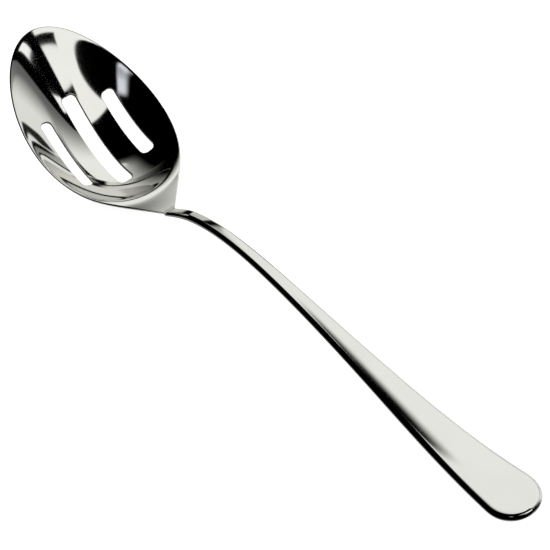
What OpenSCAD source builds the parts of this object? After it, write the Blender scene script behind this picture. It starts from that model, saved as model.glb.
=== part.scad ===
// Slotted serving spoon at rest on a table, bowl towards -X and handle towards +X.
// The table is z = 0 and the spoon is symmetric about the plane y = 0.

/* [Bowl] */
// Length of the hollow along the rim's chord, from its heel to the tip
bowl_l = 95.3; // [84:0.1:112]
// Widest width of the bowl
bowl_w = 64.2; // [54:0.1:76]
// Depth of the hollow below the rim, at its widest place
bowl_depth = 14.2; // [11:0.1:17]
// Depth by which the rim sags below its chord
rim_sag = 5.2; // [3:0.1:6.5]
// Angle between the rim's chord and the table
bowl_tilt = 26.6; // [23:0.1:31]
// Thickness of the sheet, measured square to the rim's chord
sheet_t = 1.4; // [1.2:0.1:1.6]
// Radius that the rim's edges are ground to
rim_r = 0.6; // [0.3:0.05:0.6]

/* [Slots] */
// Width of the middle slot
mid_slot_w = 7.4; // [5:0.1:9]
// Length of the middle slot
mid_slot_l = 47.4; // [30:0.2:58]
// Width of each side slot
side_slot_w = 6; // [4.5:0.1:8]
// Length of each side slot
side_slot_l = 34.6; // [24:0.2:42]
// Radius of the slots' corners, which is less where a slot is too narrow for it
slot_corner_r = 2.4; // [1:0.1:3]
// Distance from the middle slot's centre line to a side slot's
slot_pitch = 16.9; // [13:0.1:19]
// Distance along the chord from the hollow's heel to the centre of the slots
slot_centre = 41.4; // [38:0.1:48]

/* [Handle] */
// Length of the handle from the neck to its round end
handle_l = 206.1; // [165:0.1:250]
// Height of the arch's top above the table
arch_h = 19; // [14:0.5:26]
// Width of the handle near its round end
end_w = 23; // [16:0.2:30]
// Length of the round at the end
end_round = 12.6; // [9:0.2:18]
// Thickness of the handle, square to its run
handle_t = 3.9; // [3:0.1:5]
// Height by which the top is crowned at the round end
crown_h = 0.4; // [0:0.05:0.8]

/* [Neck] */
// Width of the neck where the bowl meets the handle
neck_w = 5.2; // [4.6:0.1:8]
// Length of the shoulder along the chord, from the neck to the hollow's heel
shoulder_l = 8; // [6:0.1:12]
// Upright thickness of the handle at the neck
neck_t = 2.6; // [2.5:0.1:3.2]
// Length over which the handle thickens from the neck
root_l = 16; // [10:0.5:24]
// Length of the tongue that runs under the heel of the bowl
tongue_l = 10; // [8:0.5:12]
// Width of the weld across the neck, at its top
weld_w = 1.2; // [0.8:0.1:2]
// Depth of the weld's groove
weld_d = 0.7; // [0.4:0.05:0.9]

/* [Hidden] */
// Overrun of every cut past the surface that it opens
overrun = 1;
// Place of the widest width and fullness of the egg outline, as shares of the chord
widest_share = 0.456;
fullness_share = 0.15;
// Share by which the hollow gets deeper towards the heel, over a length of the chord
skew_share = 1.1;
// Place on the chord where the egg outline goes over into the shoulder's flanks, and their spread at the neck
flank_share = 0.17;
flare_share = 1;
// Rise of the flat shoulder at the heel, and how fast it dies away along the chord
shoulder_share = 0.35;
shoulder_power = 12;
// Softness of the change from shoulder to hollow
softness_share = 0.06;
// Control points of the handle between neck and end: shares of length, arch height and end width
handle_shares = [
    [0.05, 0.447, 0.219],
    [0.15, 0.881, 0.233],
    [0.34, 0.793, 0.27],
    [0.61, 0.303, 0.465],
    [0.86, -0.131, 0.862],
    [1, 0.1, 1.102],
];
// Share of the rim's radius that is left at the neck, and length of its fading over that of the shoulder
neck_edge_share = 0.1;
edge_fade_share = 1.5;
// Share of the tongue's curve that is kept, which leaves its point blunt
tongue_share = 0.97;
// Shares of the neck's root over which the tongue's underside follows the handle and the sheet
arm_shares = [0.125, 0.25];
// Share of the handle's last curve that is kept, which leaves its end a hair's breadth open
end_share = 0.995;
// Facets around the bowl, from its middle to its rim, and over a quarter of its rounded edge
around_n = 80;
inward_n = 20;
edge_n = 3;
// Facets around the full circle that a slot's corners come from
slot_n = 48;
// Sections along the handle and its tongue, and facets over half of their width
along_n = 64;
tongue_n = 8;
across_n = 8;
// Places tried for the lowest point of the bowl, and halvings in each search
sample_n = 60;
solve_n = 30;

// Outline of the bowl: 0 at the widest place, 1 at the heel and at the tip
heel_pull = 1 / pow(widest_share, 2);
tip_pull = 1 / pow(1 - widest_share, 2);
egg_slope = tip_pull - heel_pull;
egg_base = heel_pull + egg_slope * widest_share;

function egg(s) = pow(s - widest_share, 2)
    * (egg_base + egg_slope * (s - widest_share) + fullness_share * s * (1 - s));
function egg_w(s) = bowl_w / 2 * sqrt(max(1 - egg(s), 0));

// Half width of the bowl: the egg, and behind it a cubic flank that narrows to the neck
neck_share = -shoulder_l / bowl_l;
flank_w = egg_w(flank_share);
tiny = 0.0001;
flank_slope = (egg_w(flank_share + tiny) - egg_w(flank_share - tiny)) / 2 / tiny;

function half_w(s) =
    let (run = flank_share - neck_share, t = (s - neck_share) / run)
    s > flank_share ? egg_w(s)
    : (2 * t - 3) * t * t * (neck_w / 2 - flank_w) + neck_w / 2
    + t * pow(1 - t, 2) * run * flare_share * bowl_l
    + t * t * (t - 1) * run * flank_slope;

// Depth of the inner face below the rim's chord, at a place along and across the bowl
function hollow(u, v) =
    let (
        s = u / bowl_l,
        shoulder = shoulder_share * pow(max(1 - s, 0), shoulder_power),
        fill = 1 - egg(s) - shoulder - pow(2 * v / bowl_w, 2),
        soft = fill + sqrt(fill * fill + pow(softness_share, 2)),
        skew = 1 + skew_share * (widest_share - s)
    )
    bowl_depth * skew * soft / (1 + sqrt(1 + pow(softness_share, 2))) + 4 * rim_sag * s * (1 - s);

// The bowl ends at the neck, behind its shoulder
heel_u = -shoulder_l;
heel_drop = hollow(heel_u, 0);

// The underside rests on the table beside the middle slot or behind it, which sets the neck's height
slot_start = slot_centre - mid_slot_l / 2;
neck_h = max([
    for (k = [0:sample_n])
        let (u = bowl_l * k / sample_n, v = u < slot_start ? 0 : mid_slot_w / 2)
        (hollow(u, v) - heel_drop + sheet_t) * cos(bowl_tilt) - (u - heel_u) * sin(bowl_tilt)
]);

// Length of the whole spoon, and the shift that centres it
tip_reach = (bowl_l - heel_u) * cos(bowl_tilt) + (hollow(bowl_l, 0) - heel_drop + sheet_t) * sin(bowl_tilt);
centre_x = (handle_l - tip_reach) / 2;

// Middle of a ring of points
function mean_point(ring) = [for (i = [0:len(ring) - 1]) 1] * ring / len(ring);

// Solid between rings of equally many points, closed by a fan at each end
module skin(rings) {
    n = len(rings[0]);
    last = len(rings) - 1;
    sides = [
        for (k = [0:last - 1], j = [0:n - 1])
            let (a = k * n + j, b = k * n + (j + 1) % n)
            each [[a, b, b + n], [a, b + n, a + n]]
    ];
    first_fan = [for (j = [0:n - 1]) [(last + 1) * n, (j + 1) % n, j]];
    last_fan = [for (j = [0:n - 1]) [(last + 1) * n + 1, last * n + j, last * n + (j + 1) % n]];
    polyhedron(
        points = [for (ring = rings) each ring, mean_point(rings[0]), mean_point(rings[last])],
        faces = concat(sides, first_fan, last_fan)
    );
}

// Moves the spoon so that the middle of its length is at x = 0
module centred() {
    translate([-centre_x, 0, 0])
        children();
}

// Places a shape drawn with -X along the bowl, Y across it and -Z into its depth
module in_bowl() {
    translate([0, 0, neck_h])
        rotate([0, bowl_tilt, 0])
            translate([heel_u, 0, heel_drop])
                children();
}

// Outline of the bowl seen square to the chord, run on past the neck, and a point of it moved inwards
outline = [
    for (j = [0:around_n - 1])
        let (a = 360 * (j + 0.5) / around_n, s = 1 - (1 - neck_share + overrun / bowl_l) * (1 - cos(a)) / 2)
        [s * bowl_l, (sin(a) > 0 ? 1 : -1) * half_w(s)]
];

function inset_point(j, gap) =
    let (run = outline[(j + 1) % around_n] - outline[(j + around_n - 1) % around_n])
    outline[j] + gap * [-run[1], run[0]] / norm(run);

// A point of the sheet at a place along and across the bowl, so far below the inner face
sheet_middle = [widest_share * bowl_l, 0];
function sheet_point(p, below) = [-p[0], p[1], -hollow(p[0], p[1]) - below];

// Radius of the rim's edge at each point of the outline: it fades away towards the neck
edge_r = [
    for (p = outline)
        rim_r * max(neck_edge_share, min((p[0] - heel_u) / shoulder_l / edge_fade_share, 1))
];

// One ring of the sheet at a share of the way from its middle to the start of the rounded edge
function face_ring(share, below) = [
    for (j = [0:around_n - 1])
        let (p = sheet_middle + share * (inset_point(j, edge_r[j]) - sheet_middle))
        sheet_point(p, below)
];

// One ring of the rounded edge, at an angle from the rim's outermost line to the face
function edge_ring(a, side) = [
    for (j = [0:around_n - 1])
        let (below = edge_r[j] * (1 - sin(a)))
        sheet_point(inset_point(j, edge_r[j] * (1 - cos(a))), side > 0 ? below : sheet_t - below)
];

module bowl_blank() {
    in_bowl()
        skin([
            for (k = [1:inward_n]) face_ring((k - 0.5) / inward_n, sheet_t),
            for (k = [edge_n:-1:0]) edge_ring(90 * k / edge_n, -1),
            for (k = [0:edge_n]) edge_ring(90 * k / edge_n, 1),
            for (k = [inward_n:-1:1]) face_ring((k - 0.5) / inward_n, 0),
        ]);
}

// Slot with rounded corners, cut square to the rim's chord
module slot(across, length, width) {
    corner_r = min(slot_corner_r, width / 2);
    deepest = bowl_depth * (1 + skew_share) + rim_sag + sheet_t;
    in_bowl()
        translate([-slot_centre, across, -deepest])
            linear_extrude(deepest + overrun)
                hull()
                    for (along = [-1, 1], side = [-1, 1])
                        translate([along * (length / 2 - corner_r), side * (width / 2 - corner_r)])
                            circle(corner_r, $fn = slot_n);
}

// The pressed sheet, cut off square at the plane of the neck
module bowl_sheet() {
    difference() {
        bowl_blank();
        translate([0, -neck_w, 0])
            cube([2 * neck_w, 2 * neck_w, 2 * neck_h]);
    }
}

// Groove across the neck, with its point down
module weld_groove() {
    spread = weld_w / 2 * (1 + overrun / weld_d);
    translate([0, neck_w / 2, neck_h])
        rotate([90, 0, 0])
            linear_extrude(neck_w)
                polygon([[0, -weld_d], [spread, overrun], [-spread, overrun]]);
}

// Cubic spline through the handle's control points: basis, knots and points
handle_rows = [
    [0, neck_h - neck_t, neck_w / 2],
    for (p = handle_shares) [p[0] * handle_l, p[1] * arch_h, p[2] * end_w / 2],
];
spans = len(handle_rows) - 3;

function knot(i) = min(max(i - 3, 0), spans);
function ramp(rise, run) = run > 0 ? rise / run : 0;
function basis(i, degree, t) = degree == 0
    ? (t >= knot(i) && t < knot(i + 1) ? 1 : 0)
    : ramp(t - knot(i), knot(i + degree) - knot(i)) * basis(i, degree - 1, t)
    + ramp(knot(i + degree + 1) - t, knot(i + degree + 1) - knot(i + 1)) * basis(i + 1, degree - 1, t);
function on_path(t) = [for (i = [0:len(handle_rows) - 1]) basis(i, 3, t)] * handle_rows;

// Stations along the handle, closer together towards the round end
stations = [for (k = [0:along_n]) on_path(spans * sin(90 * k / along_n * end_share))];

function slope_at(k) =
    let (a = stations[max(k - 1, 0)], b = stations[min(k + 1, along_n)])
    (b[1] - a[1]) / (b[0] - a[0]);

// Upright thickness of the handle at a station
function upright_t(k) =
    let (grown = min(stations[k][0] / root_l, 1))
    neck_t + (handle_t * sqrt(1 + pow(slope_at(k), 2)) - neck_t) * grown * grown * (3 - 2 * grown);

// Section of the handle: points across its top and back along its underside
fractions = [for (j = [-across_n:across_n]) sin(90 * j / across_n)];

// How full the full-round edge is at a share of the half width, 0 at the edge and 1 inside it
function roundness(share, past_end, spline_w, radius) =
    let (
        level = max(1 - past_end * past_end - share * share * (1 - past_end * past_end), 0),
        steepness = 2 * norm([past_end / end_round, share * sqrt(1 - past_end * past_end) / spline_w]),
        depth = steepness > 0 ? min(level / steepness, radius) : radius
    )
    sqrt(max(1 - pow(1 - depth / radius, 2), 0));

function section(x, low, high, spline_w, past_end) =
    let (
        section_w = spline_w * sqrt(1 - past_end * past_end),
        radius = (high - low) / 2,
        crown = crown_h * 2 * spline_w / end_w,
        upper = [
            for (f = fractions)
                let (r = roundness(f, past_end, spline_w, radius))
                [x, f * section_w, low + radius * (1 + r) - crown * f * f]
        ],
        lower = [
            for (j = [2 * across_n - 1:-1:1])
                let (f = fractions[j], r = roundness(f, past_end, spline_w, radius))
                [x, f * section_w, low + radius * (1 - r)]
        ]
    )
    concat(upper, lower);

// Place of the middle of the sheet over a place x behind the neck, found by halving
function sheet_x(u, below) =
    (heel_u - u) * cos(bowl_tilt) - (hollow(u, 0) - heel_drop + below) * sin(bowl_tilt);
function sheet_u(x, below, low = heel_u, high = bowl_l / 2, n = solve_n) =
    let (middle = (low + high) / 2)
    n == 0 ? middle
    : sheet_x(middle, below) > x ? sheet_u(x, below, middle, high, n - 1)
    : sheet_u(x, below, low, middle, n - 1);
function sheet_z(x, below) =
    let (u = sheet_u(x, below))
    neck_h + (u - heel_u) * sin(bowl_tilt) - (hollow(u, 0) - heel_drop + below) * cos(bowl_tilt);

// Underside of the tongue: a curve from the handle's underside to the sheet's
arms = arm_shares * root_l;
tongue_end_z = sheet_z(-tongue_l, sheet_t);
tongue_bend_z = sheet_z(arms[1] - tongue_l, sheet_t);

function tongue_x(t) =
    -3 * pow(1 - t, 2) * t * arms[0]
    - 3 * (1 - t) * t * t * (tongue_l - arms[1])
    - pow(t, 3) * tongue_l;
function tongue_z(t) =
    pow(1 - t, 2) * (1 + 2 * t) * (neck_h - neck_t)
    - 3 * pow(1 - t, 2) * t * arms[0] * slope_at(0)
    + 3 * (1 - t) * t * t * tongue_bend_z
    + pow(t, 3) * tongue_end_z;

module handle_blank() {
    skin([
        for (k = [tongue_n:-1:1])
            let (
                t = sin(90 * k / tongue_n * tongue_share),
                x = tongue_x(t),
                tongue_w = neck_w / 2 * sqrt(1 - pow(x / tongue_l, 2))
            )
            section(x, tongue_z(t), sheet_z(x, sheet_t / 2), tongue_w, 0),
        for (k = [0:along_n])
            let (p = stations[k], past_end = max((p[0] - handle_l) / end_round + 1, 0))
            section(p[0], p[1], p[1] + upright_t(k), p[2], past_end),
    ]);
}

module bowl() {
    color([0.78, 0.78, 0.76])
        centred()
            difference() {
                bowl_sheet();
                weld_groove();
                slot(0, mid_slot_l, mid_slot_w);
                for (side = [-1, 1])
                    slot(side * slot_pitch, side_slot_l, side_slot_w);
            }
}

module handle() {
    color([0.74, 0.74, 0.73])
        centred()
            difference() {
                handle_blank();
                bowl_sheet();
                weld_groove();
            }
}

module neck_weld() {
    color([0.68, 0.68, 0.67])
        centred()
            intersection() {
                weld_groove();
                union() {
                    handle_blank();
                    bowl_sheet();
                }
            }
}

bowl();
handle();
neck_weld();
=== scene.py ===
"""Slotted serving spoon in polished stainless steel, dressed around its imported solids."""

import logging
import math
from dataclasses import dataclass, field
from enum import Enum
from functools import cached_property
from typing import Callable, Sequence

import bmesh
import bpy
import numpy as np
from mathutils import Matrix, Quaternion, Vector


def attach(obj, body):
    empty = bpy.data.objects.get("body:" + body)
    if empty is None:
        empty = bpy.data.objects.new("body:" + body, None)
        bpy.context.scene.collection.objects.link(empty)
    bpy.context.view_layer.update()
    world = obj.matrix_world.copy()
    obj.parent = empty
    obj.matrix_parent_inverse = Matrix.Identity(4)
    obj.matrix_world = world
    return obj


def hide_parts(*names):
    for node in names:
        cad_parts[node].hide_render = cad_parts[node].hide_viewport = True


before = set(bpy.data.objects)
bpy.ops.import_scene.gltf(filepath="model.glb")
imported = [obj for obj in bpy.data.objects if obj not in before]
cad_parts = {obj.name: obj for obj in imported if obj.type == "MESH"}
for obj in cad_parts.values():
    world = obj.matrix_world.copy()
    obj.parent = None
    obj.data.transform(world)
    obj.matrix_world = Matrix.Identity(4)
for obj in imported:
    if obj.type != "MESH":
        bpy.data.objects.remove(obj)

LOG = logging.getLogger("spoon")
MM = 0.001
FINE = 1e-7
# What is this many times finer than a gap counts as a sliver.
SLIVER = 10
SIDEWAYS = Matrix.Rotation(math.pi / 2, 4, "Z")
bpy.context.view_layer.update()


# The form


@dataclass(frozen=True)
class SpoonForm:
    """Sizes of the spoon in millimetres and degrees, the same as its solids have."""

    bowl_l: float = 95.3
    bowl_w: float = 64.2
    bowl_depth: float = 14.2
    rim_sag: float = 5.2
    bowl_tilt: float = 26.6
    sheet_t: float = 1.4
    rim_r: float = 0.6
    mid_slot_w: float = 7.4
    mid_slot_l: float = 47.4
    side_slot_w: float = 6.0
    side_slot_l: float = 34.6
    slot_corner_r: float = 2.4
    slot_pitch: float = 16.9
    slot_centre: float = 41.4
    handle_l: float = 206.1
    arch_h: float = 19.0
    end_w: float = 23.0
    end_round: float = 12.6
    handle_t: float = 3.9
    crown_h: float = 0.4
    neck_w: float = 5.2
    shoulder_l: float = 8.0
    neck_t: float = 2.6
    root_l: float = 16.0
    tongue_l: float = 10.0
    weld_w: float = 1.2
    weld_d: float = 0.7
    overrun: float = 1.25
    widest: float = 0.456
    fullness: float = 0.15
    skew: float = 1.1
    flank: float = 0.17
    flare: float = 1.0
    shoulder: float = 0.35
    shoulder_power: float = 12.0
    softness: float = 0.06
    neck_edge: float = 0.1
    edge_fade: float = 1.5
    rest_steps: int = 60
    handle_shares: tuple[tuple[float, float, float], ...] = (
        (0.05, 0.447, 0.219),
        (0.15, 0.881, 0.233),
        (0.34, 0.793, 0.27),
        (0.61, 0.303, 0.465),
        (0.86, -0.131, 0.862),
        (1.0, 0.1, 1.102),
    )

    def egg(self, share: np.ndarray) -> np.ndarray:
        """Gives the outline's value along the chord: 0 at the widest place, 1 at both ends.

        Args:
            share: Places as shares of the chord.

        Returns:
            The values.
        """
        heel = self.widest**-2
        tip = (1 - self.widest) ** -2
        slope = tip - heel
        base = heel + slope * self.widest
        away = share - self.widest
        return away**2 * (base + slope * away + self.fullness * share * (1 - share))

    def egg_w(self, share: np.ndarray) -> np.ndarray:
        """Gives the half width of the egg outline along the chord."""
        return self.bowl_w / 2 * np.sqrt(np.maximum(1 - self.egg(share), 0))

    def half_w(self, share: np.ndarray) -> np.ndarray:
        """Gives the bowl's half width: the egg, and the flanks that narrow to the neck.

        Args:
            share: Places as shares of the chord, below 0 on the shoulder.

        Returns:
            Half widths in millimetres.
        """
        step = 1e-4
        neck = self.heel_u / self.bowl_l
        run = self.flank - neck
        t = (share - neck) / run
        wide = self.egg_w(np.array(self.flank))
        ahead, behind = (self.egg_w(np.array(self.flank + side)) for side in (step, -step))
        slope = (ahead - behind) / 2 / step
        flank = (2 * t - 3) * t**2 * (self.neck_w / 2 - wide) + self.neck_w / 2
        flank += t * (1 - t) ** 2 * run * self.flare * self.bowl_l + t**2 * (t - 1) * run * slope
        return np.where(share > self.flank, self.egg_w(share), flank)

    def hollow(self, u: np.ndarray, v: np.ndarray) -> np.ndarray:
        """Gives the depth of the inner face below the chord of the rim.

        Args:
            u: Distances along the chord from the hollow's heel, below 0 on the shoulder.
            v: Distances across from the middle.

        Returns:
            Depths in millimetres.
        """
        share = u / self.bowl_l
        lift = self.shoulder * np.maximum(1 - share, 0) ** self.shoulder_power
        fill = 1 - self.egg(share) - lift - (2 * v / self.bowl_w) ** 2
        soft = self.softness**2
        skew = 1 + self.skew * (self.widest - share)
        bowl = self.bowl_depth * skew * (fill + np.sqrt(fill**2 + soft)) / (1 + math.sqrt(1 + soft))
        return bowl + 4 * self.rim_sag * share * (1 - share)

    @property
    def heel_u(self) -> float:
        """Distance along the chord at which the bowl ends at the neck."""
        return -self.shoulder_l

    @cached_property
    def heel_drop(self) -> float:
        """Depth of the inner face at the neck."""
        return float(self.hollow(np.array(self.heel_u), np.array(0.0)))

    @cached_property
    def neck_h(self) -> float:
        """Height of the neck's top when the bowl rests on the table.

        Returns:
            The height, in millimetres.
        """
        u = self.bowl_l * np.arange(self.rest_steps + 1) / self.rest_steps
        slot_start = self.slot_centre - self.mid_slot_l / 2
        v = np.where(u < slot_start, 0, self.mid_slot_w / 2)
        tilt = math.radians(self.bowl_tilt)
        below = (self.hollow(u, v) - self.heel_drop + self.sheet_t) * math.cos(tilt)
        return float(np.max(below - (u - self.heel_u) * math.sin(tilt)))

    @cached_property
    def centre_x(self) -> float:
        """Distance from the neck to the middle of the spoon's length.

        Returns:
            The distance, in millimetres.
        """
        tilt = math.radians(self.bowl_tilt)
        tip_depth = float(self.hollow(np.array(self.bowl_l), np.array(0.0)))
        reach = (self.bowl_l - self.heel_u) * math.cos(tilt)
        reach += (tip_depth - self.heel_drop + self.sheet_t) * math.sin(tilt)
        return (self.handle_l - reach) / 2

    def outline(self, count: int) -> np.ndarray:
        """Gives points round the bowl's outline, seen square to the chord.

        Args:
            count: Number of points.

        Returns:
            An array of places along and across, in millimetres.
        """
        turn = 2 * np.pi * (np.arange(count) + 0.5) / count
        length = 1 + (self.shoulder_l + self.overrun) / self.bowl_l
        share = 1 - length * (1 - np.cos(turn)) / 2
        return np.stack([share * self.bowl_l, np.sign(np.sin(turn)) * self.half_w(share)], axis=1)

    def in_bowl(self, points: np.ndarray) -> np.ndarray:
        """Places points that are given along, across and below the chord.

        Args:
            points: Rows of distance along the chord, across it, and height above it.

        Returns:
            Rows of x, y and z on the table, in metres.
        """
        tilt = math.radians(self.bowl_tilt)
        x = self.heel_u - points[:, 0]
        z = points[:, 2] + self.heel_drop
        return MM * np.stack(
            [
                x * math.cos(tilt) + z * math.sin(tilt) - self.centre_x,
                points[:, 1],
                self.neck_h - x * math.sin(tilt) + z * math.cos(tilt),
            ],
            axis=1,
        )


FORM = SpoonForm()


# The bench


@dataclass
class Bench:
    """Holds one mesh while it is worked on in edit mode, and finishes it."""

    name: str
    obj: bpy.types.Object = field(init=False)

    def start(self, add: Callable[..., set[str]], **sizes: object) -> "Bench":
        """Adds a primitive with nothing else selected, and opens it for editing.

        Args:
            add: Operator that adds the primitive.
            sizes: Settings of the operator.

        Returns:
            The bench itself.
        """
        deselect_all()
        add(**sizes)
        self.obj = bpy.context.active_object
        self.obj.name = self.name
        self.obj.data.name = self.name
        bpy.ops.object.mode_set(mode="EDIT")
        return self

    @property
    def cage(self) -> bmesh.types.BMesh:
        """The mesh as it is being edited."""
        return bmesh.from_edit_mesh(self.obj.data)

    @property
    def lap(self) -> bmesh.types.BMLayerItem:
        """Layer that keeps the number of each point, 0 where it has none."""
        layers = self.cage.verts.layers.int
        return layers.get("lap") or layers.new("lap")

    def points(self) -> np.ndarray:
        """Gives the rows of x, y and z of all points."""
        return np.array([vert.co[:] for vert in self.cage.verts])

    def move(self, points: np.ndarray) -> None:
        """Moves all points.

        Args:
            points: Rows of x, y and z.
        """
        for vert, row in zip(self.cage.verts, points):
            vert.co = row
        bmesh.update_edit_mesh(self.obj.data)

    def number_selected(self, first: int) -> None:
        """Numbers the selected points in their order.

        Args:
            first: Number of the first one.
        """
        lap = self.lap
        chosen = [vert for vert in self.cage.verts if vert.select]
        for k, vert in enumerate(chosen):
            vert[lap] = first + k

    def place_selected(self, first: int, points: np.ndarray) -> None:
        """Moves each selected point to the row that its number names.

        Args:
            first: Number that the first row has.
            points: Rows of x, y and z.
        """
        lap = self.lap
        for vert in self.cage.verts:
            if vert.select:
                vert.co = points[vert[lap] - first]
        bmesh.update_edit_mesh(self.obj.data)

    def draw_out(self, first: int, points: np.ndarray) -> None:
        """Extrudes what is selected and moves the new points to their places.

        Args:
            first: Number that the first row has.
            points: Rows of x, y and z.
        """
        bpy.ops.mesh.extrude_region_move()
        self.place_selected(first, points)

    def choose_points(self, mask: Sequence[bool]) -> None:
        """Selects points, with what lies between them.

        Args:
            mask: True for each point that is chosen.
        """
        bpy.ops.mesh.select_mode(type="VERT")
        bpy.ops.mesh.select_all(action="DESELECT")
        cage = self.cage
        for vert, chosen in zip(cage.verts, mask):
            vert.select = bool(chosen)
        cage.select_flush(True)
        bmesh.update_edit_mesh(self.obj.data)

    def choose_edges(self, test: Callable[[bmesh.types.BMEdge], bool]) -> None:
        """Selects edges, and no faces.

        Args:
            test: Says whether an edge is chosen.
        """
        bpy.ops.mesh.select_mode(type="EDGE")
        bpy.ops.mesh.select_all(action="DESELECT")
        for edge in self.cage.edges:
            if test(edge):
                edge.select_set(True)
        bmesh.update_edit_mesh(self.obj.data)

    def finish(self, smooth_deg: float = 40.0) -> bpy.types.Object:
        """Closes editing, shades the piece smooth and leaves its place in its mesh.

        Args:
            smooth_deg: Angle above which an edge stays sharp.

        Returns:
            The finished object.
        """
        bpy.ops.mesh.select_all(action="SELECT")
        bpy.ops.mesh.normals_make_consistent(inside=False)
        bpy.ops.object.mode_set(mode="OBJECT")
        select_only(self.obj)
        bpy.ops.object.transform_apply(location=True, rotation=True, scale=True)
        bpy.ops.object.shade_smooth_by_angle(angle=math.radians(smooth_deg))
        return self.obj


class Cut(Enum):
    """Ways in which one piece is combined with another."""

    AWAY = "DIFFERENCE"
    JOINED = "UNION"
    SHARED = "INTERSECT"


def deselect_all() -> None:
    """Leaves nothing selected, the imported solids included."""
    if bpy.context.object and bpy.context.object.mode != "OBJECT":
        bpy.ops.object.mode_set(mode="OBJECT")
    bpy.ops.object.select_all(action="DESELECT")


def select_only(obj: bpy.types.Object) -> None:
    """Selects one object and makes it the active one.

    Args:
        obj: Object that is selected.
    """
    deselect_all()
    obj.select_set(True)
    bpy.context.view_layer.objects.active = obj


def copy_of(obj: bpy.types.Object, name: str) -> bpy.types.Object:
    """Copies an object with a mesh of its own.

    Args:
        obj: Object to copy.
        name: Name of the copy.

    Returns:
        The copy.
    """
    twin = obj.copy()
    twin.data = obj.data.copy()
    twin.name = name
    twin.data.name = name
    bpy.context.scene.collection.objects.link(twin)
    return twin


def combine(obj: bpy.types.Object, tool: bpy.types.Object, way: Cut) -> None:
    """Applies a boolean of one piece with another.

    The solver finds the outside at the point that lies furthest along x. That would be the
    handle's tip, whose faces are too slim for it, so both pieces are turned for the cut.

    Args:
        obj: Piece that is changed.
        tool: Piece that it is combined with.
        way: What is kept of the two.
    """
    select_only(obj)
    for piece in (obj, tool):
        piece.data.transform(SIDEWAYS)
    cut = obj.modifiers.new("cut", "BOOLEAN")
    cut.operation = way.value
    cut.object = tool
    cut.solver = "EXACT"
    bpy.ops.object.modifier_apply(modifier=cut.name)
    for piece in (obj, tool):
        piece.data.transform(SIDEWAYS.inverted())


def saw(obj: bpy.types.Object, x: float, keep_below: bool) -> None:
    """Saws a closed piece across its length and closes the cut.

    Args:
        obj: Piece that is sawn.
        x: Place of the cut, in metres.
        keep_below: Whether the part at lower x is kept.
    """
    select_only(obj)
    bpy.ops.object.mode_set(mode="EDIT")
    bpy.ops.mesh.select_all(action="SELECT")
    bpy.ops.mesh.bisect(
        plane_co=(x, 0, 0),
        plane_no=(1, 0, 0),
        threshold=FINE,
        use_fill=True,
        clear_outer=keep_below,
        clear_inner=not keep_below,
    )
    bpy.ops.object.mode_set(mode="OBJECT")


def close_seams(obj: bpy.types.Object, gap: float) -> None:
    """Joins points that a cut left close together.

    Args:
        obj: Piece that was cut.
        gap: Distance below which two points become one, in millimetres.
    """
    select_only(obj)
    bpy.ops.object.mode_set(mode="EDIT")
    bpy.ops.mesh.select_all(action="SELECT")
    bpy.ops.mesh.remove_doubles(threshold=gap * MM)
    bpy.ops.mesh.dissolve_degenerate(threshold=gap * MM / SLIVER)
    bpy.ops.object.mode_set(mode="OBJECT")


def discard(*objects: bpy.types.Object) -> None:
    """Removes tools that aren't part of the spoon."""
    for obj in objects:
        bpy.data.objects.remove(obj, do_unlink=True)


# The bowl


LoopShape = Callable[[np.ndarray], np.ndarray]


@dataclass
class Slot:
    """One slot of the bowl, with sizes in millimetres."""

    across: float
    length: float
    width: float
    corner: float
    arc_n: int = 14
    side_n: int = 40

    def loop(self, gap: float) -> np.ndarray:
        """Gives points round the slot.

        Args:
            gap: Distance by which the loop stands outside the slot's edge.

        Returns:
            Rows of places along and across the bowl.
        """
        reach = np.array([self.length, self.width]) / 2 - self.corner
        rows = []
        for k, signs in enumerate([(1, 1), (-1, 1), (-1, -1), (1, -1)]):
            turns = 0.5 * math.pi * (k + (np.arange(self.arc_n) + 0.5) / self.arc_n)
            arc = np.stack([np.cos(turns), np.sin(turns)], axis=1)
            rows.extend(reach * signs + (self.corner + gap) * arc)
            if k % 2 == 0:
                side = signs[1] * (reach[1] + self.corner + gap)
                shares = np.linspace(1, -1, self.side_n)
                rows.extend([signs[0] * reach[0] * share, side] for share in shares)
        return np.array(rows) + [FORM.slot_centre, self.across]

    def distance(self, points: np.ndarray) -> np.ndarray:
        """Gives how far points lie outside the slot's edge.

        Args:
            points: Rows of places along and across the bowl.

        Returns:
            Distances, below 0 inside the slot.
        """
        reach = np.array([self.length, self.width]) / 2 - self.corner
        away = np.abs(points - [FORM.slot_centre, self.across]) - reach
        outside = np.linalg.norm(np.maximum(away, 0), axis=1)
        return outside + np.minimum(away.max(axis=1), 0) - self.corner


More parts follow.
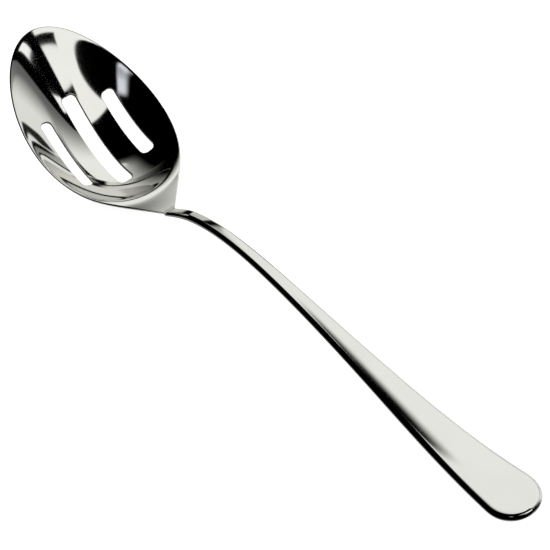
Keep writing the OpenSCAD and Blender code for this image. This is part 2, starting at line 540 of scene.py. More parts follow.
@dataclass
class Bowl:
    """The pressed bowl: a flat blank with its slots, given an edge and then pressed to shape."""

    name: str = "bowl_sheet"
    cell: float = 0.75
    outline_n: int = 288
    round_n: int = 4
    slot_edge_r: float = 0.28
    cut_share: float = 0.5
    support: float = 0.06
    rim_room: float = 0.8
    slot_room: float = 0.6
    border_room: float = 2.5
    smooth_deg: float = 40.0
    slots: list[Slot] = field(default_factory=list)

    def __post_init__(self) -> None:
        """Lists the slots from the spoon's sizes."""
        side = (FORM.side_slot_l, FORM.side_slot_w, FORM.slot_corner_r)
        self.slots = [
            Slot(0, FORM.mid_slot_l, FORM.mid_slot_w, FORM.slot_corner_r),
            Slot(FORM.slot_pitch, *side),
            Slot(-FORM.slot_pitch, *side),
        ]

    @cached_property
    def rim(self) -> np.ndarray:
        """Points of the outline, along and across the bowl."""
        return FORM.outline(self.outline_n)

    @cached_property
    def rim_inward(self) -> np.ndarray:
        """Directions square to the outline, into the sheet.

        Returns:
            A row for each point of the rim.
        """
        run = np.roll(self.rim, -1, axis=0) - np.roll(self.rim, 1, axis=0)
        inward = np.stack([-run[:, 1], run[:, 0]], axis=1)
        return inward / np.linalg.norm(inward, axis=1, keepdims=True)

    @cached_property
    def rim_r(self) -> np.ndarray:
        """Radius of the rounded rim at each point, fading away towards the neck."""
        fade = (self.rim[:, 0] - FORM.heel_u) / FORM.shoulder_l / FORM.edge_fade
        return FORM.rim_r * np.clip(fade, FORM.neck_edge, 1)

    def rim_loop(self, gap: np.ndarray) -> np.ndarray:
        """Gives points inside the outline by a gap at each."""
        return self.rim + gap[:, None] * self.rim_inward

    def edge_rings(self, loop: LoopShape, radius: np.ndarray) -> list[np.ndarray]:
        """Gives the rings of a rounded edge, from the top face down to the underside.

        Args:
            loop: Gives the loop that stands a gap away from the edge.
            radius: Radius of the edge at each point.

        Returns:
            Rows along, across and above the flat blank, a ring after the other.
        """
        turns = np.linspace(0, math.pi / 2, self.round_n + 1)
        upper = [(radius * (1 - math.sin(a)), radius * (1 - math.cos(a))) for a in turns]
        lower = [(gap, FORM.sheet_t - below) for gap, below in reversed(upper)]
        rings = [*upper, *lower, (radius + self.support, np.full(len(radius), FORM.sheet_t))]
        return [np.column_stack([loop(gap), -below]) for gap, below in rings]

    def loops(self) -> list[tuple[LoopShape, np.ndarray]]:
        """Gives the loops round the sheet's edges, the rim first.

        Returns:
            Each loop's function and the radius of its edge.
        """
        found = [(self.rim_loop, self.rim_r)]
        for slot in self.slots:
            count = len(slot.loop(0.0))
            shape = lambda gap, slot=slot: slot.loop(float(np.max(gap)))
            found.append((shape, np.full(count, self.slot_edge_r)))
        return found

    def clear_of_edges(self, points: np.ndarray) -> np.ndarray:
        """Says which points of the flat blank lie well inside it.

        Args:
            points: Rows along and across the bowl.

        Returns:
            True for each point that stays.
        """
        face = self.rim_loop(self.rim_r + self.support)
        share = points[:, 0] / FORM.bowl_l
        inside = (share < 1) & (np.abs(points[:, 1]) < FORM.half_w(share))
        nearest = np.full(len(points), np.inf)
        for corner in face:
            nearest = np.minimum(nearest, np.linalg.norm(points - corner, axis=1))
        clear = inside & (nearest > self.rim_room * self.cell)
        slot_gap = self.slot_edge_r + self.support + self.slot_room * self.cell
        for slot in self.slots:
            clear &= slot.distance(points) > slot_gap
        return clear

    def lay_face(self, bench: Bench) -> list[int]:
        """Lays the flat top face: a trimmed grid, joined to the rim's loop and the slots'.

        Args:
            bench: Bench that holds the grid.

        Returns:
            The first number of each loop.
        """
        heel = FORM.heel_u - FORM.overrun
        bpy.ops.transform.resize(value=((FORM.bowl_l - heel) / 2, FORM.bowl_w / 2, 1))
        bpy.ops.transform.translate(value=((FORM.bowl_l + heel) / 2, 0, 0))
        bench.choose_points(~self.clear_of_edges(bench.points()[:, :2]))
        bpy.ops.mesh.delete(type="VERT")
        firsts = []
        first = 1
        for shape, radius in self.loops():
            bpy.ops.mesh.primitive_circle_add(vertices=len(radius), radius=1)
            bench.number_selected(first)
            flat = shape(radius + self.support)
            bench.place_selected(first, np.column_stack([flat, np.zeros(len(flat))]))
            firsts.append(first)
            first += len(radius)
        self.join_loops(bench, firsts + [first])
        return firsts

    def join_loops(self, bench: Bench, firsts: list[int]) -> None:
        """Fills the gap between each loop and the grid's border that faces it.

        Args:
            bench: Bench that holds the flat blank.
            firsts: First number of each loop, and the number after the last one.
        """
        lap = bench.lap
        reach = self.border_room * self.cell + self.slot_edge_r + self.support
        for k in range(len(firsts) - 1):
            low, high = firsts[k], firsts[k + 1]

            def faces_loop(edge: bmesh.types.BMEdge) -> bool:
                """Says whether an edge belongs to the loop or to the border beside it.

                Args:
                    edge: Edge of the flat blank.

                Returns:
                    True where the gap is filled from this edge.
                """
                if all(low <= vert[lap] < high for vert in edge.verts):
                    return len(edge.link_faces) < 2
                if len(edge.link_faces) != 1 or any(vert[lap] for vert in edge.verts):
                    return False
                spot = np.array([(edge.verts[0].co + edge.verts[1].co)[:2]]) / 2
                near = [float(slot.distance(spot)[0]) < reach for slot in self.slots]
                return near[k - 1] if k else not any(near)

            bench.choose_edges(faces_loop)
            bpy.ops.mesh.fill(use_beauty=True)

    def round_edges(self, bench: Bench, firsts: list[int]) -> None:
        """Lays the underside and rounds the rim and the slots' edges down to it.

        Args:
            bench: Bench that holds the flat top face.
            firsts: First number of each loop.
        """
        bpy.ops.mesh.select_mode(type="FACE")
        bpy.ops.mesh.select_all(action="SELECT")
        down = {"value": (0, 0, -FORM.sheet_t)}
        bpy.ops.mesh.duplicate_move(TRANSFORM_OT_translate=down)
        lap = bench.lap
        for first, (shape, radius) in zip(firsts, self.loops()):
            last = first + len(radius)
            bench.choose_edges(
                lambda edge: len(edge.link_faces) == 1
                and all(first <= v[lap] < last and v.co.z > -self.support for v in edge.verts)
            )
            for ring in self.edge_rings(shape, radius):
                bench.draw_out(first, ring)
        bpy.ops.mesh.select_all(action="SELECT")
        bpy.ops.mesh.remove_doubles(threshold=self.support / SLIVER)
        bench.choose_edges(lambda edge: not edge.link_faces)
        bpy.ops.mesh.delete(type="EDGE")

    def mark_cuts(self, bench: Bench) -> None:
        """Gives the walls of the slots the second finish.

        Args:
            bench: Bench that holds the flat blank.
        """
        reach = self.slot_edge_r * self.cut_share
        for face in bench.cage.faces:
            spot = np.array([face.calc_center_median()[:2]])
            face.material_index = int(any(float(slot.distance(spot)[0]) < reach for slot in self.slots))

    def press(self, bench: Bench) -> None:
        """Presses the flat blank to the bowl's depth and sets it on the table.

        Args:
            bench: Bench that holds the flat blank.
        """
        self.mark_cuts(bench)
        flat = bench.points()
        flat[:, 2] -= FORM.hollow(flat[:, 0], flat[:, 1])
        bench.move(FORM.in_bowl(flat))

    def build(self) -> bpy.types.Object:
        """Builds the bowl up to the plane of the neck.

        Returns:
            The bowl, not yet grooved for the weld.
        """
        bench = Bench(self.name).start(
            bpy.ops.mesh.primitive_grid_add,
            x_subdivisions=round((FORM.bowl_l + FORM.shoulder_l + FORM.overrun) / self.cell),
            y_subdivisions=round(FORM.bowl_w / self.cell),
            size=2,
        )
        firsts = self.lay_face(bench)
        self.round_edges(bench, firsts)
        self.press(bench)
        sheet = bench.finish(self.smooth_deg)
        saw(sheet, -FORM.centre_x * MM, keep_below=True)
        return sheet


# The handle


@dataclass
class Handle:
    """The forged handle with the tongue that runs under the bowl's heel."""

    name: str = "handle_bar"
    along_n: int = 220
    across_n: int = 24
    tongue_n: int = 24
    end_share: float = 0.9995
    tongue_share: float = 0.97
    arm_shares: tuple[float, float] = (0.125, 0.25)
    degree: int = 3
    least: float = 1e-9
    halvings: int = 40
    smooth_deg: float = 60.0

    def on_path(self, t: np.ndarray) -> np.ndarray:
        """Follows the cubic spline through the handle's control points.

        Args:
            t: Places on the spline.

        Returns:
            Rows of distance from the neck, height of the underside and half width.
        """
        scale = np.array([FORM.handle_l, FORM.arch_h, FORM.end_w / 2])
        start = [[0, FORM.neck_h - FORM.neck_t, FORM.neck_w / 2]]
        rows = np.concatenate([start, np.array(FORM.handle_shares) * scale])
        spans = len(rows) - self.degree
        knots = np.clip(np.arange(len(rows) + self.degree + 1) - self.degree, 0, spans)
        weights = [((t >= low) & (t < high)).astype(float) for low, high in zip(knots, knots[1:])]
        for order in range(1, self.degree + 1):
            rise = []
            for i in range(len(weights) - 1):
                end = knots[i + order + 1]
                left, right = knots[i + order] - knots[i], end - knots[i + 1]
                grow = (t - knots[i]) / left * weights[i] if left else 0 * t
                fade = (end - t) / right * weights[i + 1] if right else 0 * t
                rise.append(grow + fade)
            weights = rise
        return np.stack(weights, axis=1) @ rows

    @cached_property
    def stations(self) -> np.ndarray:
        """Places along the handle, closer together towards the round end.

        Returns:
            Rows of distance from the neck, height of the underside and half width.
        """
        spans = len(FORM.handle_shares) + 1 - self.degree
        turn = math.pi / 2 * np.arange(self.along_n + 1) / self.along_n * self.end_share
        return self.on_path(spans * np.sin(turn))

    @cached_property
    def slopes(self) -> np.ndarray:
        """Rise of the underside over each station.

        Returns:
            Height over length at each station.
        """
        ahead = np.concatenate([self.stations[1:], self.stations[-1:]])
        behind = np.concatenate([self.stations[:1], self.stations[:-1]])
        run = ahead - behind
        return run[:, 1] / run[:, 0]

    @cached_property
    def thickness(self) -> np.ndarray:
        """Upright thickness at each station.

        Returns:
            Thicknesses in millimetres, growing from the neck's to the handle's.
        """
        grown = np.minimum(self.stations[:, 0] / FORM.root_l, 1)
        full = FORM.handle_t * np.sqrt(1 + self.slopes**2)
        return FORM.neck_t + (full - FORM.neck_t) * grown**2 * (3 - 2 * grown)

    def section(
        self, x: float, low: float, high: float, spline_w: float, past_end: float
    ) -> np.ndarray:
        """Gives the points of one section with full-round edges and a crowned top.

        Args:
            x: Distance from the neck.
            low: Height of the underside.
            high: Height of the top.
            spline_w: Half width of the handle before its end is rounded off.
            past_end: Share of the round end that the section lies beyond its start.

        Returns:
            Rows of x, y and z in metres, across the top and back along the underside.
        """
        squeeze = math.sqrt(max(1 - past_end**2, self.least))
        radius = (high - low) / 2
        share = np.sin(math.pi / 2 * np.arange(-self.across_n, self.across_n + 1) / self.across_n)
        level = np.maximum(squeeze**2 * (1 - share**2), 0)
        steepness = 2 * np.hypot(past_end / FORM.end_round, share * squeeze / spline_w)
        depth = np.minimum(level / np.maximum(steepness, self.least), radius)
        full = np.sqrt(np.maximum(1 - (1 - depth / radius) ** 2, 0))
        crown = FORM.crown_h * 2 * spline_w / FORM.end_w
        upper = low + radius * (1 + full) - crown * share**2
        lower = (low + radius * (1 - full))[-2:0:-1]
        y = share * spline_w * squeeze
        around_y = np.concatenate([y, y[-2:0:-1]])
        around_x = np.full(len(around_y), x - FORM.centre_x)
        return MM * np.column_stack([around_x, around_y, np.concatenate([upper, lower])])

    def sheet_z(self, x: float, below: float) -> float:
        """Gives the height of the sheet's middle line over a place behind the neck.

        Args:
            x: Distance from the neck, below 0.
            below: Depth under the sheet's inner face.

        Returns:
            Height above the table, in millimetres.
        """
        tilt = math.radians(FORM.bowl_tilt)
        low, high = FORM.heel_u, FORM.bowl_l / 2
        for _ in range(self.halvings):
            u = (low + high) / 2
            drop = float(FORM.hollow(np.array(u), np.array(0.0))) - FORM.heel_drop + below
            at = (FORM.heel_u - u) * math.cos(tilt) - drop * math.sin(tilt)
            low, high = (u, high) if at > x else (low, u)
        return FORM.neck_h + (u - FORM.heel_u) * math.sin(tilt) - drop * math.cos(tilt)

    def tongue(self) -> list[np.ndarray]:
        """Gives the sections of the tongue.

        Returns:
            Rows of x, y and z in metres for each section, from the tongue's point to the neck.
        """
        arm, tail = (share * FORM.root_l for share in self.arm_shares)
        end_z = self.sheet_z(-FORM.tongue_l, FORM.sheet_t)
        bend_z = self.sheet_z(tail - FORM.tongue_l, FORM.sheet_t)
        rings = []
        for k in range(self.tongue_n, 0, -1):
            t = math.sin(math.pi / 2 * k / self.tongue_n * self.tongue_share)
            left = 1 - t
            x = -3 * left**2 * t * arm - 3 * left * t**2 * (FORM.tongue_l - tail) - t**3 * FORM.tongue_l
            z = left**2 * (1 + 2 * t) * (FORM.neck_h - FORM.neck_t)
            z += 3 * left * t**2 * bend_z + t**3 * end_z - 3 * left**2 * t * arm * self.slopes[0]
            half_w = FORM.neck_w / 2 * math.sqrt(1 - (x / FORM.tongue_l) ** 2)
            rings.append(self.section(x, z, self.sheet_z(x, FORM.sheet_t / 2), half_w, 0))
        return rings

    def build(self) -> bpy.types.Object:
        """Builds the handle and its tongue by drawing one section out through all others.

        Returns:
            The handle, not yet seated under the bowl.
        """
        rings = self.tongue()
        for (x, low, half_w), thick in zip(self.stations, self.thickness):
            past_end = max((x - FORM.handle_l) / FORM.end_round + 1, 0)
            rings.append(self.section(x, low, low + thick, half_w, past_end))
        bench = Bench(self.name).start(
            bpy.ops.mesh.primitive_circle_add, vertices=len(rings[0]), fill_type="NGON"
        )
        bpy.ops.mesh.select_all(action="SELECT")
        bench.number_selected(1)
        bench.place_selected(1, rings[0])
        for ring in rings[1:]:
            bench.draw_out(1, ring)
        bpy.ops.mesh.merge(type="CENTER")
        return bench.finish(self.smooth_deg)


# The neck


@dataclass
class Neck:
    """The joint of bowl and handle: the tongue's seat, the groove and the weld in it."""

    name: str = "neck_bead"
    overrun: float = 1.0
    margin: float = 2.0
    seam: float = 0.0005
    point: float = 0.01
    smooth_deg: float = 30.0

    def groove(self) -> bpy.types.Object:
        """Makes the wedge that cuts the groove across the neck.

        Returns:
            The wedge, point down.
        """
        height = FORM.weld_d + self.overrun
        spread = FORM.weld_w * height / FORM.weld_d
        bench = Bench("groove_tool").start(bpy.ops.mesh.primitive_cube_add, size=1)
        bpy.ops.transform.resize(value=(spread * MM, FORM.neck_w * MM, height * MM))
        middle = FORM.neck_h - FORM.weld_d + height / 2
        bpy.ops.transform.translate(value=(-FORM.centre_x * MM, 0, middle * MM))
        bench.choose_points(bench.points()[:, 2] < middle * MM)
        bpy.ops.transform.resize(value=(0, 1, 1), center_override=(-FORM.centre_x * MM, 0, 0))
        bpy.ops.mesh.remove_doubles(threshold=self.point * MM)
        return bench.finish()

    def join(self, bowl: bpy.types.Object, handle: bpy.types.Object) -> bpy.types.Object:
        """Seats the tongue under the bowl, cuts the groove and fills it.

        Args:
            bowl: The bowl up to the plane of the neck.
            handle: The handle with its tongue.

        Returns:
            The weld.
        """
        neck_x = -FORM.centre_x * MM
        heel = copy_of(bowl, "heel_tool")
        saw(heel, neck_x - (FORM.tongue_l + self.margin) * MM, keep_below=False)
        root = copy_of(handle, "root_tool")
        saw(root, neck_x - self.margin * MM, keep_below=False)
        saw(root, neck_x + self.margin * MM, keep_below=True)
        collar = copy_of(bowl, "collar_tool")
        saw(collar, neck_x - self.margin * MM, keep_below=False)
        groove = self.groove()
        weld = copy_of(groove, self.name)
        combine(root, collar, Cut.JOINED)
        combine(weld, root, Cut.SHARED)
        combine(handle, heel, Cut.AWAY)
        combine(handle, groove, Cut.AWAY)
        combine(bowl, groove, Cut.AWAY)
        discard(heel, root, collar, groove)
        for piece, maker in ((bowl, Bowl), (handle, Handle), (weld, Neck)):
            close_seams(piece, self.seam)
            bpy.ops.object.shade_smooth_by_angle(angle=math.radians(maker.smooth_deg))
        return weld


# The finishes


def linear(code: str) -> tuple[float, float, float, float]:
    """Turns an sRGB hex value into the linear colour that a shader takes.

    Args:
        code: Six hex digits.

    Returns:
        Red, green, blue and 1.
    """
    parts = [int(code[k : k + 2], 16) / 255 for k in (0, 2, 4)]
    red, green, blue = (c / 12.92 if c <= 0.04045 else ((c + 0.055) / 1.055) ** 2.4 for c in parts)
    return red, green, blue, 1.0


def bare_tree(owner: bpy.types.Material | bpy.types.World) -> bpy.types.NodeTree:
    """Gives a material or a world a node tree with nothing in it.

    Args:
        owner: The material or world.

    Returns:
        The tree.
    """
    owner.use_nodes = True
    owner.node_tree.nodes.clear()
    return owner.node_tree


def add_node(
    tree: bpy.types.NodeTree, kind: str, links: dict[str, object] | None = None, **settings: object
) -> bpy.types.Node:
    """Adds a node, sets it and links it.

    Args:
        tree: Node tree that takes the node.
        kind: Type of the node.
        links: Input names with a value, or with the output that feeds them.
        settings: Attributes of the node.

    Returns:
        The node.
    """
    node = tree.nodes.new(kind)
    for key, value in settings.items():
        setattr(node, key, value)
    for key, value in (links or {}).items():
        socket = node.inputs[int(key) if key.isdigit() else key]
        if isinstance(value, bpy.types.NodeSocket):
            tree.links.new(value, socket)
        else:
            socket.default_value = value
    return node


def calc(tree: bpy.types.NodeTree, operation: str, *parts: object) -> bpy.types.NodeSocket:
    """Adds one step of arithmetic.

    Args:
        tree: Node tree that takes the node.
        operation: What is done with the parts, by the Math node's name for it.
        parts: Values, or the outputs that give them.

    Returns:
        The result.
    """
    links = {str(k): part for k, part in enumerate(parts)}
    return add_node(tree, "ShaderNodeMath", links, operation=operation).outputs[0]


@dataclass(frozen=True)
class Steel:
    """Polished stainless steel by its tone and the marks of its polishing, in millimetres."""

    name: str
    color: str
    stain: str
    gloss: tuple[float, float]
    haze: float
    line_run: float
    line_gap: float
    line_depth: float
    wave: float
    wave_depth: float
    haze_detail: float = 3.0
    line_detail: float = 2.0
    wave_detail: float = 0.0
    grain: float = 0.55
    mark_range: tuple[float, float] = (0.1, 0.45)

    def noise(
        self,
        tree: bpy.types.NodeTree,
        place: bpy.types.NodeSocket,
        sizes: tuple[float, float, float],
        detail: float,
    ) -> bpy.types.NodeSocket:
        """Adds noise whose grain has the given sizes.

        Args:
            tree: Node tree of the material.
            place: Place on the piece, in metres.
            sizes: Grain along, across and upright.
            detail: Octaves of finer grain.

        Returns:
            The noise, from 0 to 1.
        """
        scale = tuple(1 / (size * MM) for size in sizes)
        fitted = add_node(tree, "ShaderNodeVectorMath", {"0": place, "1": scale}, operation="MULTIPLY")
        links = {
            "Vector": fitted.outputs["Vector"],
            "Scale": 1.0,
            "Detail": detail,
            "Roughness": self.grain,
        }
        return add_node(tree, "ShaderNodeTexNoise", links).outputs["Fac"]

    def make(self) -> bpy.types.Material:
        """Makes the material.

        Returns:
            The material, with its tone, gloss and relief set by real-size marks.
        """
        material = bpy.data.materials.new(self.name)
        tree = bare_tree(material)
        place = add_node(tree, "ShaderNodeTexCoord").outputs["Object"]
        cloudy = self.noise(tree, place, (self.haze,) * 3, self.haze_detail)
        line_sizes = (self.line_run, self.line_gap, self.line_gap)
        lines = self.noise(tree, place, line_sizes, self.line_detail)
        waves = self.noise(tree, place, (self.wave,) * 3, self.wave_detail)
        tones = {"0": cloudy, "6": linear(self.color), "7": linear(self.stain)}
        tone = add_node(tree, "ShaderNodeMix", tones, data_type="RGBA")
        span = {
            "Value": calc(tree, "MULTIPLY", cloudy, lines),
            "From Min": self.mark_range[0],
            "From Max": self.mark_range[1],
            "To Min": self.gloss[0],
            "To Max": self.gloss[1],
        }
        gloss = add_node(tree, "ShaderNodeMapRange", span)
        marks = {"Strength": 1.0, "Distance": self.wave_depth * MM, "Height": waves}
        relief = add_node(tree, "ShaderNodeBump", marks).outputs["Normal"]
        marks = {
            "Strength": 1.0,
            "Distance": self.line_depth * MM,
            "Height": lines,
            "Normal": relief,
        }
        relief = add_node(tree, "ShaderNodeBump", marks).outputs["Normal"]
        surface = {
            "Base Color": tone.outputs[2],
            "Metallic": 1.0,
            "Roughness": gloss.outputs["Result"],
            "Normal": relief,
        }
        shader = add_node(tree, "ShaderNodeBsdfPrincipled", surface)
        add_node(tree, "ShaderNodeOutputMaterial", {"Surface": shader.outputs["BSDF"]})
        return material


# Buffed on a soft wheel after pressing: clear reflections, with a breath of haze and fine lines.
BOWL_STEEL = Steel(
    name="buffed_stainless_sheet",
    color="E4E4E1",
    stain="DCDCD8",
    gloss=(0.030, 0.065),
    haze=14.0,
    line_run=22.0,
    line_gap=0.22,
    line_depth=0.00006,
    wave=30.0,
    wave_depth=0.0012,
)
# Belt-polished along its length and buffed: reflections drawn out a little across the bar.
HANDLE_STEEL = Steel(
    name="belt_polished_stainless_bar",
    color="E2E2DF",
    stain="DADAD6",
    gloss=(0.035, 0.085),
    haze=18.0,
    line_run=40.0,
    line_gap=0.18,
    line_depth=0.00010,
    wave=26.0,
    wave_depth=0.0008,
)
# Blanked by a punch and tumbled: the slots' walls are greyer and duller than the sheet's faces.
CUT_STEEL = Steel(
    name="punched_and_tumbled_steel_edge",
    color="BDBDB9",
    stain="A4A4A0",
    gloss=(0.14, 0.26),
    haze=2.5,
    line_run=0.5,
    line_gap=0.12,
    line_depth=0.0006,
    wave=4.0,
    wave_depth=0.002,
)
# Weld metal ground flush and buffed: a little duller, with short lines across the neck.
WELD_STEEL = Steel(
    name="ground_and_buffed_weld_metal",
    color="D2D2CE",
    stain="BEBEB9",
    gloss=(0.07, 0.15),
    haze=1.6,
    line_run=0.12,
    line_gap=1.4,
    line_depth=0.0003,
    wave=3.0,
    wave_depth=0.001,
)


# The studio


def towards(azimuth: float, elevation: float) -> Vector:
    """Gives the direction that two angles in degrees name.

    Args:
        azimuth: Turn about the upright, 0 towards -Y and 90 towards +X.
        elevation: Rise above the table.

    Returns:
        The direction, one long.
    """
    turn, rise = math.radians(azimuth), math.radians(elevation)
    return Vector((math.sin(turn) * math.cos(rise), -math.cos(turn) * math.cos(rise), math.sin(rise)))


@dataclass
class Viewpoint:
    """Camera at the photograph's angle, with sizes in metres and degrees."""

    azimuth: float = 48.474
    elevation: float = 47.295
    roll: float = -0.548
    distance: float = 0.5472
    target: tuple[float, float, float] = (0.011741, 0.0, 0.017672)
    lens: float = 89.44
    sensor_w: float = 36.0
    near: float = 0.01
    far: float = 20.0

    def build(self) -> bpy.types.Object:
        """Makes the camera and sets it as the scene's.

        Returns:
            The camera.
        """
        back = towards(self.azimuth, self.elevation)
        data = bpy.data.cameras.new("camera")
        data.lens = self.lens
        data.sensor_width = self.sensor_w
        data.clip_start = self.near
        data.clip_end = self.far
        camera = bpy.data.objects.new("camera", data)
        bpy.context.scene.collection.objects.link(camera)
        camera.location = Vector(self.target) + back * self.distance
        aim = (-back).to_track_quat("-Z", "Y") @ Quaternion((0, 0, 1), math.radians(self.roll))
        camera.rotation_euler = aim.to_euler()
        bpy.context.scene.camera = camera
        return camera


@dataclass(frozen=True)
class Panel:
    """A lit panel or a black flag far from the spoon, by its direction and its edges.

    The edges are tangents of the angle from the middle: left and right, low and high. Each has
    a softness in the same order. A panel covers those named before it.
    """

    name: str
    azimuth: float
    elevation: float
    edges: tuple[float, float, float, float]
    soft: tuple[float, float, float, float]
    level: float
    color: str = "FFFFFF"
    roll: float = 0.0
    least_ahead: float = 0.05

    def axes(self) -> tuple[Vector, Vector, Vector]:
        """Gives the panel's own directions.

        Returns:
            The directions towards the panel, to its right and up.
        """
        ahead = towards(self.azimuth, self.elevation)
        turn = math.radians(self.azimuth)
        right = Vector((math.cos(turn), math.sin(turn), 0))
        right = Matrix.Rotation(math.radians(self.roll), 3, ahead) @ right
        return ahead, right, ahead.cross(right)

    def mask(self, tree: bpy.types.NodeTree, direction: bpy.types.NodeSocket) -> bpy.types.NodeSocket:
        """Adds the nodes that are 1 on the panel and 0 around it.

        Args:
            tree: Node tree of the tent.
            direction: Direction from the spoon.

        Returns:
            The mask.
        """
        parts = []
        for axis in self.axes():
            links = {"0": direction, "1": axis}
            part = add_node(tree, "ShaderNodeVectorMath", links, operation="DOT_PRODUCT")
            parts.append(part.outputs["Value"])
        ahead, right, up = parts
        across, along = (calc(tree, "DIVIDE", part, ahead) for part in (right, up))
        found = calc(tree, "GREATER_THAN", ahead, self.least_ahead)
        places, signs = (across, across, along, along), (1, -1, 1, -1)
        for place, edge, soft, sign in zip(places, self.edges, self.soft, signs):
            span = {"Value": place, "From Min": edge - sign * soft, "From Max": edge + sign * soft}
            ramp = add_node(tree, "ShaderNodeMapRange", span, interpolation_type="SMOOTHSTEP")
            found = calc(tree, "MULTIPLY", found, ramp.outputs["Result"])
        return found


PANELS = (
    # The table, as the steel shows it: a painted reflection. The table itself is hidden from the steel,
    # and two glowing panels stand where it lies, the one straight below dimmer.
    Panel("table_behind", 205, -20, (-1.1, 1.2, -1.6, 0.30), (0.3, 0.3, 0.3, 0.05), 0.66, "F4F4F0"),
    Panel("table_near", 0, -90, (-1.15, 1.15, -1.15, 1.15), (0.3, 0.3, 0.3, 0.3), 0.34, "F4F4F0"),
    # Soft boxes behind the spoon, as the camera sees it.
    Panel("haze", 155, 30, (-0.40, 0.5, -0.6, 0.6), (0.1, 0.05, 0.05, 0.05), 0.15),
    Panel("back_box", 180, 45, (-0.30, 0.95, -0.27, 0.36), (0.35, 0.08, 0.02, 0.04), 1.08, "FDFDFA"),
    Panel("back_wing", 225, 48, (-0.12, 0.20, -0.30, 0.42), (0.03, 0.08, 0.05, 0.03), 1.06, "FDFDFA"),
    Panel("back_low", 165, 15, (-0.215, 0.85, -0.9, 0.222), (0.19, 0.05, 0.05, 0.03), 0.95, "FDFDFA"),
    # Two beyond the tip of the bowl.
    Panel("left_wall", 250, 50, (-0.16, 0.13, -0.35, 0.35), (0.08, 0.26, 0.05, 0.22), 0.65, "FAFAF4"),
    Panel("left_low", 240, 15, (-0.34, 0.2, -0.22, 0.13), (0.08, 0.22, 0.02, 0.02), 0.78, "FAFAF4"),
    # Black gaps between the boxes.
    Panel("back_flag", 182, 11, (-0.08, 0.08, -0.045, 0.045), (0.02, 0.02, 0.015, 0.015), 0.02),
    Panel("pillar", 130, 38, (-0.6, 0.16, -0.6, 0.6), (0.05, 0.012, 0.05, 0.05), 0.0),
    # A box beyond the end of the handle, cut to shape by two flags.
    Panel("side_box", 90, 45, (-0.25, 0.435, -0.30, 0.17), (0.02, 0.012, 0.03, 0.015), 1.14, "FDFDFA"),
    Panel("side_flag", 90, 45, (-1.0, 0.105, -1.0, -0.034), (0.05, 0.01, 0.05, 0.01), 0.0, roll=-39),
    Panel("tip_flag", 90, 45, (0.236, 0.52, -0.096, -0.040), (0.012, 0.01, 0.005, 0.010), 0.0),
    # Two small bright ones, beside the camera and to the right of it.
    Panel("window", 44, 46.5, (-0.11, 0.05, -0.035, 0.035), (0.06, 0.03, 0.02, 0.02), 0.95, "F0F4FF"),
    Panel("door", 130, 35, (-0.03, 0.058, -0.038, 0.038), (0.008, 0.010, 0.006, 0.01), 1.2, roll=-30.5),
)


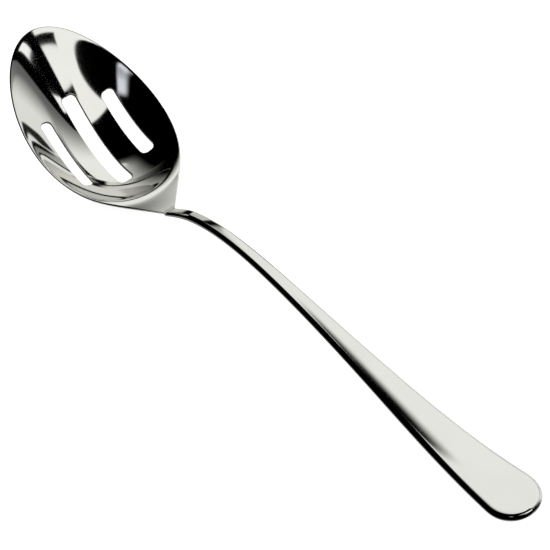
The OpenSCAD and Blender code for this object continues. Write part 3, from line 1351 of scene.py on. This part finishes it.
@dataclass
class Studio:
    """A white table in a tent of black cloth with lit panels, seen only in the steel."""

    tent_r: float = 12.0
    tent_segments: int = 96
    tent_rings: int = 48
    floor_size: float = 60.0
    floor_color: str = "F0F0EE"
    sky_level: float = 0.8
    floor_glow: float = 0.75
    panels: tuple[Panel, ...] = PANELS

    def seen_rays(self, tree: bpy.types.NodeTree) -> bpy.types.NodeSocket:
        """Adds the nodes that are 1 for what the camera, metal or glass sees, 0 for light.

        Args:
            tree: Node tree of the world or of the table.

        Returns:
            The mask.
        """
        path = add_node(tree, "ShaderNodeLightPath")
        seen = path.outputs["Is Camera Ray"]
        for kind in ("Is Glossy Ray", "Is Transmission Ray"):
            seen = calc(tree, "MAXIMUM", seen, path.outputs[kind])
        return seen

    def sky(self) -> None:
        """Makes the world white where it is seen, and softer as a light."""
        world = bpy.data.worlds.new("studio")
        bpy.context.scene.world = world
        tree = bare_tree(world)
        span = {"Value": self.seen_rays(tree), "To Min": self.sky_level, "To Max": 1.0}
        level = add_node(tree, "ShaderNodeMapRange", span).outputs["Result"]
        shade = add_node(tree, "ShaderNodeBackground", {"Color": (1, 1, 1, 1), "Strength": level})
        add_node(tree, "ShaderNodeOutputWorld", {"Surface": shade.outputs["Background"]})

    def floor(self) -> bpy.types.Object:
        """Lays the pale table, which keeps the spoon's shadow.

        Returns:
            The table.
        """
        deselect_all()
        bpy.ops.mesh.primitive_plane_add(size=self.floor_size)
        table = bpy.context.active_object
        table.name = "table"
        material = bpy.data.materials.new("pale_table")
        tree = bare_tree(material)
        matte = add_node(tree, "ShaderNodeBsdfDiffuse", {"Color": linear(self.floor_color)})
        level = calc(tree, "MULTIPLY", self.seen_rays(tree), self.floor_glow)
        glow = add_node(tree, "ShaderNodeEmission", {"Color": (1, 1, 1, 1), "Strength": level})
        parts = {"0": matte.outputs["BSDF"], "1": glow.outputs["Emission"]}
        both = add_node(tree, "ShaderNodeAddShader", parts)
        add_node(tree, "ShaderNodeOutputMaterial", {"Surface": both.outputs["Shader"]})
        table.data.materials.append(material)
        # The steel doesn't see the table; it shows the painted table reflection on the tent instead.
        table.visible_glossy = False
        return table

    def tent(self) -> bpy.types.Object:
        """Hangs the black tent with its lit panels round the table.

        Returns:
            The tent.
        """
        deselect_all()
        bpy.ops.mesh.primitive_uv_sphere_add(
            segments=self.tent_segments, ring_count=self.tent_rings, radius=self.tent_r
        )
        cloth = bpy.context.active_object
        cloth.name = "tent"
        material = bpy.data.materials.new("black_tent")
        tree = bare_tree(material)
        place = {"0": add_node(tree, "ShaderNodeTexCoord").outputs["Object"]}
        direction = add_node(tree, "ShaderNodeVectorMath", place, operation="NORMALIZE")
        light = (0.0, 0.0, 0.0, 1.0)
        for panel in self.panels:
            tone = (*(panel.level * part for part in linear(panel.color)[:3]), 1.0)
            mask = panel.mask(tree, direction.outputs["Vector"])
            links = {"0": mask, "6": light, "7": tone}
            light = add_node(tree, "ShaderNodeMix", links, data_type="RGBA").outputs[2]
        glow = add_node(tree, "ShaderNodeEmission", {"Color": light, "Strength": 1.0})
        add_node(tree, "ShaderNodeOutputMaterial", {"Surface": glow.outputs["Emission"]})
        cloth.data.materials.append(material)
        cloth.visible_camera = False
        cloth.visible_diffuse = False
        cloth.visible_shadow = False
        return cloth

    def build(self) -> None:
        """Sets up the sky, the table and the tent."""
        self.sky()
        self.floor()
        self.tent()


def build_spoon() -> tuple[bpy.types.Object, bpy.types.Object, bpy.types.Object]:
    """Builds the spoon.

    Returns:
        The bowl, the handle and the weld.
    """
    bowl = Bowl().build()
    LOG.info("bowl: %d faces", len(bowl.data.polygons))
    handle = Handle().build()
    LOG.info("handle: %d faces", len(handle.data.polygons))
    weld = Neck().join(bowl, handle)
    LOG.info("weld: %d faces", len(weld.data.polygons))
    return bowl, handle, weld


def main() -> None:
    """Builds the spoon and its studio."""
    logging.basicConfig(level=logging.INFO, format="%(name)s: %(message)s")
    scene = bpy.context.scene
    scene.view_settings.view_transform = "Standard"
    bowl, handle, weld = build_spoon()
    bowl_steel, handle_steel = BOWL_STEEL.make(), HANDLE_STEEL.make()
    cut_steel, weld_steel = CUT_STEEL.make(), WELD_STEEL.make()
    for piece, node, slot, finishes in (
        (bowl, "bowl", "bowl_steel", (bowl_steel, cut_steel)),
        (handle, "handle", "handle_steel", (handle_steel,)),
        (weld, "neck_weld", "weld_steel", (weld_steel,)),
    ):
        for finish in finishes:
            piece.data.materials.append(finish)
        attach(piece, "root")
        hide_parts(node)
    Viewpoint().build()
    Studio().build()


if __name__ == "__main__":
    main()
